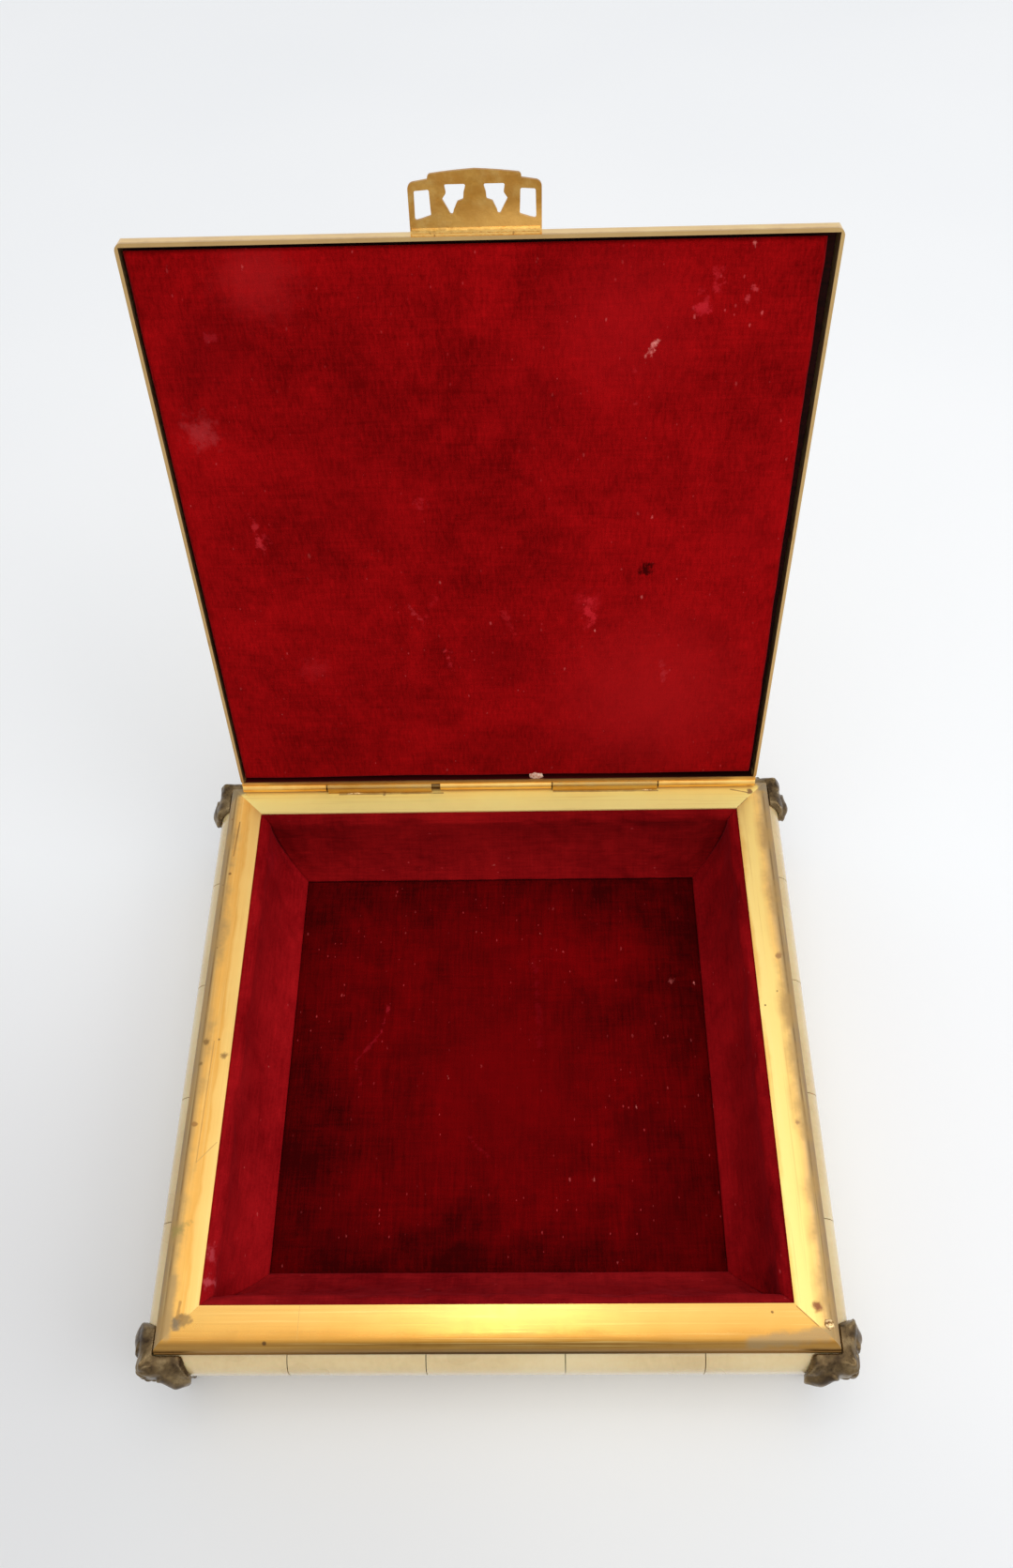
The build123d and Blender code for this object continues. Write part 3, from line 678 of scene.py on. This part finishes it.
def add_sheet(name, vertices, faces, material):
    mesh = bpy.data.meshes.new(name)
    mesh.from_pydata(vertices, [], faces)
    mesh.update()
    return smooth_piece(name, mesh, material)


def thicken(piece, depth):
    """Gives a sheet its backing, on the side away from its normals."""
    shell = piece.modifiers.new("backing", "SOLIDIFY")
    shell.thickness = depth
    shell.offset = -1
    apply_modifiers(piece)


def apply_modifiers(piece):
    graph = bpy.context.evaluated_depsgraph_get()
    mesh = bpy.data.meshes.new_from_object(piece.evaluated_get(graph))
    piece.modifiers.clear()
    piece.data = mesh
    for face in mesh.polygons:
        face.use_smooth = True


def steps(columns, rows):
    """Column and row of each point of a grid, row by row."""
    return [(column, row) for row in range(rows) for column in range(columns)]


def grid_faces(columns, rows, flip=False):
    """Faces between a grid's points, turned over if flip is set."""
    firsts = [row * columns + column for column, row in steps(columns - 1, rows - 1)]
    faces = [(first, first + 1, first + columns + 1, first + columns) for first in firsts]
    return [face[::-1] for face in faces] if flip else faces


def spread(step, count):
    """A step's place, from -1 to 1, among count steps."""
    return 2 * step / (count - 1) - 1


def soft(x, y, z, size):
    """Smooth noise from -1 to 1 whose lumps are about size millimetres wide."""
    return noise.noise(Vector((x, y, z)) / size)


def ease(value):
    value = min(max(value, 0.0), 1.0)
    return value * value * (3 - 2 * value)


# Velvet

# Lengths in mm
ROLL = 2.6  # radius of the lining's rolled top
COVE = 11.6  # run of the lining from the rail to the floor
GATHER = 7.0  # how far the linings' gathers reach from the corners
FOLD_OFF = 3.4, 2.2  # the fold's distance from a corner at the top, and more at the floor
FOLD_WIDTH, FOLD_RISE = 1.7, 0.3
LINING_WIDER = 1.003  # so that the linings meet in the corners
LINING_BACKING = 0.7
FLOOR_BACKING = 1.2
FLOOR_UNDER = 0.6  # how far the floor runs under the linings
FLOOR_SUNK, FLOOR_DIP = 0.45, 0.4  # how deep the floor lies before it swells, and its border below that
PAD_BACKING = 0.5
# The cloth simulation
LAST_FRAME = 20
PRESSURE = 4
COARSE = 61  # points across a simulated sheet
UNEVEN = 0.05  # how far, in mm, the sheets are from smooth at the start


def swell_sheet(points, columns, rows, slack=0.0, cap=0.5, flip=False):
    """How velvet held down round its border moves when its padding pushes it out.

    points are places in mm, row by row. Gives the moves in mm, none longer than cap. flip turns the
    sheet over, and with it the side it is pushed to.
    """
    mesh = bpy.data.meshes.new("swelling")
    mesh.from_pydata([point * MM for point in points], [], grid_faces(columns, rows, flip))
    sheet = add_object("swelling", mesh)
    border = [index for index, (column, row) in enumerate(steps(columns, rows))
              if row in (0, rows - 1) or column in (0, columns - 1)]
    sheet.vertex_groups.new(name="border").add(border, 1.0, "REPLACE")
    cloth = sheet.modifiers.new("cloth", "CLOTH")
    settings = cloth.settings
    settings.quality = 6
    settings.vertex_group_mass = "border"
    settings.bending_stiffness = 0.5
    settings.shrink_min = -slack
    settings.use_pressure = True
    settings.uniform_pressure_force = PRESSURE
    settings.effector_weights.gravity = 0
    cloth.point_cache.frame_start, cloth.point_cache.frame_end = 1, LAST_FRAME
    for number in range(1, LAST_FRAME + 1):
        scene.frame_set(number)
    graph = bpy.context.evaluated_depsgraph_get()
    moves = []
    for point, vertex in zip(points, sheet.evaluated_get(graph).data.vertices):
        move = vertex.co / MM - point
        if move.length > 0:
            move *= cap * tanh(move.length / cap) / move.length
        moves.append(move)
    bpy.data.objects.remove(sheet)
    bpy.data.meshes.remove(mesh)
    scene.frame_set(1)
    return moves


def curve_through(before, start, end, after, share):
    """A smooth curve from start to end that heads as its neighbours do."""
    bend = 2 * before - 5 * start + 4 * end - after
    turn = 3 * (start - end) + after - before
    return start + 0.5 * share * (end - before + share * (bend + share * turn))


def sheet_move(moves, columns, rows, across, along):
    """The move of the sheet at a place, across and along it from 0 to 1."""
    column, row = across * (columns - 1), along * (rows - 1)
    left, low = min(int(column), columns - 2), min(int(row), rows - 2)
    lines = []
    for step in range(-1, 3):
        start = min(max(low + step, 0), rows - 1) * columns
        points = [moves[start + min(max(left + side, 0), columns - 1)] for side in range(-1, 3)]
        lines.append(curve_through(*points, column - left))
    return curve_through(*lines, row - low)


def lining_profile(share):
    """Reach and depth, in mm, along the lining from its top edge (0) to the floor (1)."""
    depth = (LINING_TOP - FLOOR_TOP) / MM
    run, drop = COVE - ROLL, depth - ROLL
    lean = atan2(run, drop)
    radius = hypot(run, drop) / (2 * sin(lean))
    first, second = ROLL * pi / 2, radius * 2 * lean
    length = share * (first + second)
    if length < first:
        turn = length / ROLL
        return ROLL * sin(turn), ROLL * (1 - cos(turn))
    turn = (length - first) / radius
    return ROLL + radius * (1 - cos(turn)), ROLL + radius * sin(turn)


def lining_place(across, share, number):
    """A point on a lining's plain surface, and how far it is puffed or gathered, in mm."""
    reach, depth = lining_profile(share)
    width = INNER_HALF / MM - reach
    edge = (1 - abs(across)) * width
    gather = ease(edge / GATHER)
    x, seed = across * width, number * 40
    puff = 0.34 * (gather - 1) * sin(pi * min(share * 1.15, 1.0))
    wave = 0.36 * soft(x, seed, depth * 0.6, 19) + 0.08 * soft(x, seed, depth, 6)
    crease = exp(-((edge - FOLD_OFF[0] - FOLD_OFF[1] * share) / FOLD_WIDTH) ** 2)
    fold = FOLD_RISE * crease * (0.6 + soft(number * 11, depth, across * 5, 7))
    swell = (puff + wave * gather + fold) * sin(pi * min(max(share, 0.02), 0.98)) ** 0.6
    slant = atan2(depth + 3, reach + 6)
    plain = Vector((x, -INNER_HALF / MM + reach, LINING_TOP / MM - depth))
    return plain, Vector((0, swell * sin(slant) * 0.9, swell * cos(slant) * 0.8))


def add_linings(paints):
    """Four padded walls of the well: puffed between their edges, gathered where they meet."""
    columns, rows, tall = 181, 46, 16
    for number, side in enumerate(("front", "right", "back", "left")):
        turn = Matrix.Rotation(number * pi / 2, 3, "Z")
        coarse = [lining_place(spread(column, COARSE), row / (tall - 1), number)[0]
                  + Vector((0, 0, UNEVEN * soft(column, row, number * 9, 3)))
                  for column, row in steps(COARSE, tall)]
        moves = swell_sheet(coarse, COARSE, tall, slack=0.006, cap=0.42)
        vertices = []
        for column, row in steps(columns, rows):
            across, share = spread(column, columns), row / (rows - 1)
            plain, puffed = lining_place(across * LINING_WIDER, share, number)
            move = sheet_move(moves, COARSE, tall, (across + 1) / 2, share)
            vertices.append(turn @ (plain + puffed + move) * MM)
        piece = add_sheet(f"{side}_velvet_wall", vertices, grid_faces(columns, rows), paints[side])
        thicken(piece, LINING_BACKING * MM)
        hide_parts(f"{side}_lining")
        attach(piece, "body")


def add_floor(paint):
    """The well's velvet floor, a little fuller in the middle and dented by use."""
    count = 150
    half, top = FLOOR_HALF / MM + FLOOR_UNDER, FLOOR_TOP / MM
    coarse = [Vector((spread(column, COARSE) * half, spread(row, COARSE) * half,
                      top - 0.2 + UNEVEN * soft(column, row, 4, 3)))
              for column, row in steps(COARSE, COARSE)]
    moves = swell_sheet(coarse, COARSE, COARSE)
    vertices = []
    for column, row in steps(count, count):
        x, y = spread(column, count) * half, spread(row, count) * half
        move = sheet_move(moves, COARSE, COARSE, column / (count - 1), row / (count - 1))
        edge = half - max(abs(x), abs(y))
        dip = FLOOR_DIP * (1 - ease(edge / 2.4))
        wave = 0.22 * soft(x, y, 3, 26) + 0.09 * soft(x, y, 9, 9)
        lift = top - FLOOR_SUNK - dip + wave * ease(edge / 6.0)
        vertices.append((Vector((x, y, lift)) + move) * MM)
    piece = add_sheet("velvet_floor", vertices, grid_faces(count, count), paint)
    thicken(piece, FLOOR_BACKING * MM)
    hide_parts("floor_pad")
    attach(piece, "body")


# The lid's pad, in mm. The free edge's end comes first, then the hinge's
PAD_LEFT = 0.12  # gap between the pad and the rim on the left
PAD_RIGHT = 1.9, 0.7  # gap on the right at both ends
PAD_ENDS = 0.06, 1.0  # gaps at the free edge and at the hinge
PAD_ROUND = 0.5  # radius of the pad's edge
PAD_TOP = 0.3  # the pad's face, in from the lid's lip
PAD_RIM, PAD_CROWN = 0.25, 0.35  # how much deeper its border lies, and how far its middle stands out
LID_SHEET = 0.8  # thickness of the rim's brass


def add_lid_pad(paint):
    """Velvet glued over a card inside the lid: soft edges, cut a little out of square."""
    count = 190
    inner = LID_HALF / MM - LID_SHEET
    coarse = [on_lid(spread(column, COARSE) * inner * MM,
                     LID_MIDDLE + spread(row, COARSE) * inner * MM,
                     LID_LIP + (PAD_TOP + UNEVEN * soft(column, row, 6, 3)) * MM) / MM
              for column, row in steps(COARSE, COARSE)]
    moves = swell_sheet(coarse, COARSE, COARSE, flip=True)
    vertices = []
    for row in range(count):
        along = row / (count - 1)  # from the free edge to the hinge
        right_gap = PAD_RIGHT[0] + (PAD_RIGHT[1] - PAD_RIGHT[0]) * along
        left = -inner + PAD_LEFT + 0.1 * soft(along * 60, 2, 0, 6)
        right = inner - right_gap + 0.25 * soft(along * 140, 7, 0, 9)
        front = -inner + PAD_ENDS[0]
        for column in range(count):
            across = column / (count - 1)
            back = inner - PAD_ENDS[1] + 0.35 * soft(across * 120, 3, 0, 26)
            x = left + (right - left) * across
            y = front + (back - front) * along
            edge = min(x - left, right - x, y - front, back - y)
            drop = 0.0
            if edge < PAD_ROUND:
                drop = PAD_ROUND - sqrt(max(PAD_ROUND ** 2 - (PAD_ROUND - edge) ** 2, 0))
            crown = PAD_CROWN * ease(edge / 14.0)
            wave = 0.16 * soft(x, y, 5, 30) + 0.07 * soft(x, y, 8, 9)
            lift = PAD_TOP + PAD_RIM - crown - wave * ease(edge / 6) + drop * 1.2
            move = sheet_move(moves, COARSE, COARSE, across, along) * 0.8
            place = on_lid(x * MM, LID_MIDDLE + y * MM, LID_LIP + lift * MM)
            vertices.append(place + move * MM)
    piece = add_sheet("velvet_lid_pad", vertices, grid_faces(count, count, flip=True), paint)
    thicken(piece, PAD_BACKING * MM)
    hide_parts("lid_pad")
    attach(piece, "lid")


# Marks on the velvet: place in mm, radius, colour, strength. Lines: both ends, width, colour, strength.
# Places on the lid are given as if it were shut, and those on the floor without their height
LID_MARKS = [
    ((38.7, 4.4), 2, (0.02, 0, 0), 0.85),
    ((-64, -32.7), 5.5, (0.52, 0.04, 0.045), 0.45),
    ((-46, -66), 13, (0.44, 0.012, 0.014), 0.45),
    ((46.5, -58), 1.8, (0.62, 0.018, 0.03), 0.6),
    ((-57.5, -54), 1.6, (0.56, 0.02, 0.03), 0.4),
    ((-15.4, -14.2), 1.8, (0.62, 0.02, 0.03), 0.5),
    ((24, 14), 6, (0.46, 0.006, 0.01), 0.55),
    ((25, 17), 1.4, (0.62, 0.012, 0.022), 0.5),
    ((-54, -6), 1.8, (0.6, 0.02, 0.03), 0.45),
    ((-47, 33), 5, (0.46, 0.01, 0.014), 0.45),
    ((42, 44), 38, (0.54, 0.009, 0.011), 0.6),
    ((30, -56), 24, (0.46, 0.006, 0.009), 0.35),
    ((-30, -20), 34, (0.15, 0.0004, 0.001), 0.18),
    ((-58, -50), 16, (0.15, 0.0006, 0.002), 0.3),
    ((8, -40), 18, (0.15, 0.0006, 0.002), 0.18),
    ((0, 30), 16, (0.16, 0.0006, 0.002), 0.3),
    ((62, -4), 14, (0.16, 0.0006, 0.002), 0.3),
]
LID_LINES = [
    ((49.5, -64.5), (47, -59.5), 1.5, (0.6, 0.02, 0.03), 0.5),
    ((36.9, -50.6), (35.4, -48), 0.8, (0.8, 0.2, 0.18), 0.8),
    ((37.6, -51.8), (37.4, -50.2), 0.6, (0.85, 0.28, 0.24), 0.75),
    ((57.2, -62), (55.6, -59.6), 0.7, (0.66, 0.06, 0.07), 0.55),
    ((-21, 14), (-17.5, 19), 0.6, (0.62, 0.04, 0.05), 0.45),
    ((-13, 26), (-11, 31), 0.7, (0.62, 0.04, 0.05), 0.4),
    ((3, 16), (6, 23), 0.9, (0.56, 0.015, 0.02), 0.45),
    ((-18, 20), (-14, 12), 0.8, (0.54, 0.012, 0.018), 0.35),
    ((44, 32), (45, 38), 0.8, (0.58, 0.04, 0.05), 0.4),
    ((24, 12), (25.5, 21), 1.3, (0.68, 0.02, 0.03), 0.55),
    ((-56, -11), (-54.5, -2), 0.9, (0.66, 0.03, 0.04), 0.5),
    ((-12, 28), (-10.5, 34), 0.8, (0.62, 0.02, 0.03), 0.45),
    ((33, -46), (34, -38), 0.5, (0.58, 0.03, 0.04), 0.35),
]
WALL_MARKS = [
    # The first two: a painted highlight, a pink sheen on the left lining's roll near the front left
    # corner.
    ((-66.8, -63, 33), 2.6, (0.62, 0.09, 0.11), 0.55),
    ((-66.5, -56.5, 33), 2.2, (0.6, 0.08, 0.1), 0.45),
    ((-64, 56, 28), 6, (0.4, 0.006, 0.014), 0.35),
    # Darkens the right lining by the well's front right corner.
    ((64, -62, 26), 7, (0.06, 0.0005, 0.002), 0.5),
]
FLOOR_LINES = [
    ((-30.9, 16), (-32.3, 8.1), 0.5, (0.42, 0.012, 0.022), 0.55),
    ((-32.3, 8.1), (-38.7, -0.2), 0.5, (0.36, 0.008, 0.016), 0.45),
    ((-38.7, -0.2), (-37, -6.9), 0.5, (0.32, 0.006, 0.012), 0.35),
    ((-7.7, -22), (-3, -27), 0.7, (0.3, 0.006, 0.012), 0.4),
    ((10, 30), (11, 4), 1, (0.24, 0.003, 0.008), 0.35),
]
# The floor: a pink speck, darker patches towards the front, and painted light that brightens the
# middle.
FLOOR_MARKS = [
    ((48, 23), 1, (0.6, 0.12, 0.11), 0.5),
    ((35, -18), 12, (0.045, 0, 0.0006), 0.45),
    ((42, -42), 16, (0.042, 0, 0.0006), 0.45),
    ((-40, -45), 15, (0.045, 0, 0.0006), 0.35),
    ((0, -6), 36, (0.21, 0.0006, 0.0016), 0.5),
]


def lid_place(x, y):
    """A mark's place on the open lid's velvet, in mm."""
    return tuple(on_lid(x * MM, y * MM, LID_LIP + PAD_TOP * MM) / MM)


def floor_place(x, y):
    return x, y, FLOOR_TOP / MM


def placed(place, marks, lines):
    """Marks and lines as velvet takes them, carried by the function place from flat places."""
    return {"marks": [(place(*at), *rest) for at, *rest in marks],
            "lines": [(place(*start), place(*end), *rest) for start, end, *rest in lines]}


def add_velvet():
    # Each wall's deep and bright colours give it its own brightness: lit and shaded copies of one
    # velvet.
    walls = {"front": ("x", (0.155, 0.0015, 0.0035), (0.38, 0.01, 0.0125), ()),
             "right": ("y", (0.14, 0.0008, 0.0026), (0.37, 0.005, 0.0075), WALL_MARKS),
             "back": ("x", (0.12, 0.0008, 0.002), (0.32, 0.005, 0.006), ()),
             "left": ("y", (0.18, 0.001, 0.0028), (0.44, 0.0075, 0.011), WALL_MARKS)}
    paints = {side: velvet(f"velvet_{side}", *values) for side, values in walls.items()}
    # The floor's darker colours are painted shade at the bottom of the well.
    floor = velvet("velvet_floor", "y", (0.045, 0.0, 0.0003), (0.2, 0.0003, 0.0012), lint=0.95,
                   edge=FLOOR_HALF / MM, **placed(floor_place, FLOOR_MARKS, FLOOR_LINES))
    lid = velvet("velvet_lid", "z", (0.155, 0.0003, 0.0008), (0.46, 0.0032, 0.0046), lint=0.8,
                 nap=0.25, **placed(lid_place, LID_MARKS, LID_LINES))
    add_linings(paints)
    add_floor(floor)
    add_lid_pad(lid)


# Corner mounts

# Lengths in mm
VOXEL = 0.28
FOOT_TOP = 6.5
FOOT_KEPT = 2.6  # reach inward from the frame's face that stays as it is
FOOT_DRAWN = 0.8  # share of the rest that is taken away
DOME_ALONG, DOME_UP = 3.9, 23.6  # the dome's middle: from the corner, above the table
VEIN, BEAD, KNOB, DOME = 0.22, 0.55, 0.45, 1.3  # how far the carving's forms stand out
FAN_ALONG, FAN_UP = -2.5, 3.0  # where the veins fan out from
VEINS = 15  # how fast they alternate round it
BEADS = 3.6  # how fast the beads alternate up the ridge, in radians to the mm
LEAST_FACING, LEAST_UP = 0.15, 0.4  # how far outward and how high its metal is at least


def slim_foot(vertices):
    """Draw the foot in towards the corner, so that its toe stays under the leaf from above."""
    half = BODY_HALF / MM
    for vertex in vertices:
        amount = FOOT_DRAWN * ease((FOOT_TOP - vertex.co.z / MM) / 2)
        for axis in (0, 1):
            at = vertex.co[axis] / MM
            reach = half - abs(at)
            if reach > FOOT_KEPT:
                reach = FOOT_KEPT + (reach - FOOT_KEPT) * (1 - amount)
                vertex.co[axis] = (half - reach) * (1 if at > 0 else -1) * MM


def carving(place, normal):
    """How far, in mm, the carving stands out at a place in mm whose plain surface faces normal."""
    side_x, side_y = (1 if place.x > 0 else -1), (1 if place.y > 0 else -1)
    out_x, out_y = abs(place.x) - BODY_HALF / MM, abs(place.y) - BODY_HALF / MM
    facing = max(normal.x * side_x, normal.y * side_y)
    height = place.z
    if facing < LEAST_FACING or height < LEAST_UP:
        return 0.0
    along = -out_x if normal.y * side_y > normal.x * side_x else -out_y
    angle = atan2(along - FAN_ALONG, height - FAN_UP)
    vein = VEIN * cos(angle * VEINS) * ease(along / 3 + 1.3)
    ridge = exp(-((out_x - out_y) / 1.6) ** 2) * (out_x + out_y > 2)
    beads = BEAD * ridge * (0.5 + 0.5 * cos(height * BEADS))
    knobs = KNOB * soft(*place, 3.0) + 0.12 * soft(*place, 1.2)
    dome = DOME * exp(-((along - DOME_ALONG) / 2.6) ** 2 - ((height - DOME_UP) / 3.8) ** 2)
    amount = max(vein + beads + knobs, -0.12) + dome
    return amount * ease((facing - LEAST_FACING) / 0.3) * ease((height - LEAST_UP) / 1.5)


def carve_mount(name, paint):
    """The cast mount with its carving: veins over each arm, a beaded ridge, knobs and a dome."""
    piece = add_object(name.replace("corner_mount", "cast_mount"), nodes[name].data.copy())
    remesh = piece.modifiers.new("remesh", "REMESH")
    remesh.mode = "VOXEL"
    remesh.voxel_size = VOXEL * MM
    apply_modifiers(piece)
    mesh = piece.data
    mesh.materials.clear()
    mesh.materials.append(paint)
    slim_foot(mesh.vertices)
    mesh.update()
    normals = [vertex.normal.copy() for vertex in mesh.vertices]
    for vertex, normal in zip(mesh.vertices, normals):
        vertex.co += normal * carving(vertex.co / MM, normal) * MM
    smooth = piece.modifiers.new("smooth", "SMOOTH")
    smooth.factor = 0.5
    smooth.iterations = 2
    apply_modifiers(piece)
    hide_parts(name)
    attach(piece, "body")


def add_mounts():
    paint = old_bronze("cast_bronze")
    for name in sorted(nodes):
        if name.startswith("corner_mount"):
            carve_mount(name, paint)


# Solder and glue


def add_lump(name, place, size, paint, body, seed, squash=0.5, tilt=0.0):
    """A run of solder or glue: an uneven drop at place. size is half its length and width in mm."""
    maker = bmesh.new()
    bmesh.ops.create_icosphere(maker, subdivisions=4, radius=1.0)
    turn = Matrix.Rotation(-tilt, 3, "X")
    for vertex in maker.verts:
        bulge = 1 + 0.35 * noise.noise(vertex.co * 1.6 + Vector((seed, 0, 0)))
        shaped = vertex.co * Vector((size[0], size[1], size[1] * squash)) * bulge * MM
        vertex.co = Vector(place) + turn @ shaped
    mesh = bpy.data.meshes.new(name)
    maker.to_mesh(mesh)
    maker.free()
    piece = smooth_piece(name, mesh, paint)
    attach(piece, body)


def add_lumps():
    metal = solder("solder", (0.36, 0.2, 0.07), (0.95, 0.7, 0.36))
    glue = solder("glue", (0.66, 0.3, 0.2), (0.92, 0.7, 0.54), roughness=0.5, metallic=0.0)
    on_frame = (("front_right", (75.4, -72.9), 0.1, (1.1, 1.1)),
                ("hinge_left", (-41.7, 75.2), 0.0, (2.8, 0.7)),
                ("hinge_right", (43.0, 75.2), 0.0, (2.4, 0.6)))
    for seed, (where, (x, y), sunk, size) in enumerate(on_frame, 1):
        place = (x * MM, y * MM, FRAME_TOP - sunk * MM)
        add_lump(f"solder_{where}", place, size, metal, "body", seed)
    lip_y = LID_REAR - (LID_SHEET / 2 + 1.2) * MM
    add_lump("glue_lid", on_lid(11 * MM, lip_y, LID_LIP + 0.8 * MM), (1.8, 1.6), glue, "lid", 4,
             squash=0.35, tilt=LID_TURN)
    root = LID_REAR - 2 * LID_HALF - 0.9 * MM
    for number, (x, size) in enumerate(((10.6, 1.5), (5.4, 1.1), (-9.8, 1.2), (-3.0, 0.8)), 1):
        place = on_lid(x * MM, root, LID_LIP + 1.1 * MM)
        add_lump(f"solder_tab_{number}", place, (size, 0.6), metal, "lid", 4 + number, squash=0.6)


scene.view_settings.view_transform = "Standard"
add_camera()
add_light()
add_table()
paint_nodes()
add_velvet()
add_mounts()
add_lumps()
